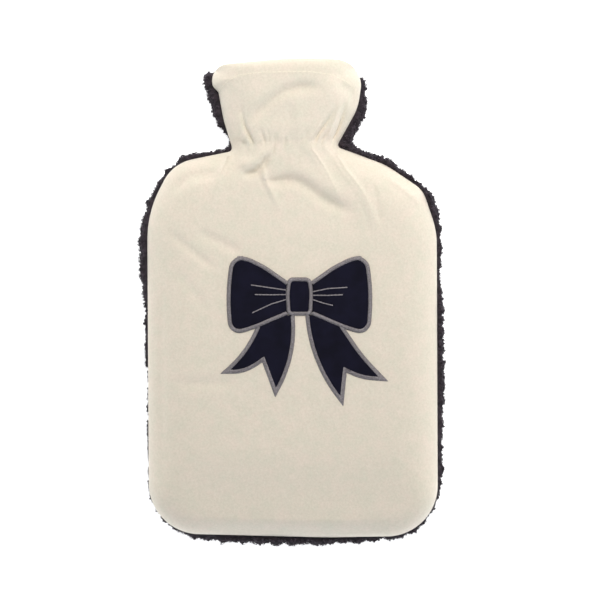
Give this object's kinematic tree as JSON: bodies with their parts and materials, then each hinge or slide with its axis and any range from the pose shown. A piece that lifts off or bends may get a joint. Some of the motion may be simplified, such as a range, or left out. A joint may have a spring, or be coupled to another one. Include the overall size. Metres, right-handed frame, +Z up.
{
  "type": "hot water bottle cover",
  "caption": "Bottle-shaped cloth cover, open at a ruffled neck, with a smooth cream front, a dark curly fleece back and a ribbon-bow applique.",
  "frame": {"origin": "under the middle of the cover, on the surface that its back lies on", "axes": "+X to the right of the face, +Y along the cover towards its mouth, +Z up out of the face"},
  "size_m": [0.2244, 0.3532, 0.0395],
  "materials": {
    "velour": "smooth cream velour",
    "curly_fleece": "dark navy curly fleece",
    "bow_cloth": "navy velour patch",
    "embroidery_thread": "grey satin stitch",
    "sewing_thread": "cream sewing thread"
  },
  "bodies": {
    "root": {"front_panel": "velour", "back_panel": "curly_fleece", "bow_knot": "bow_cloth", "bow_loop_left": "bow_cloth", "bow_loop_right": "bow_cloth", "bow_tail_left": "bow_cloth", "bow_tail_right": "bow_cloth"}
  },
  "joints": []
}
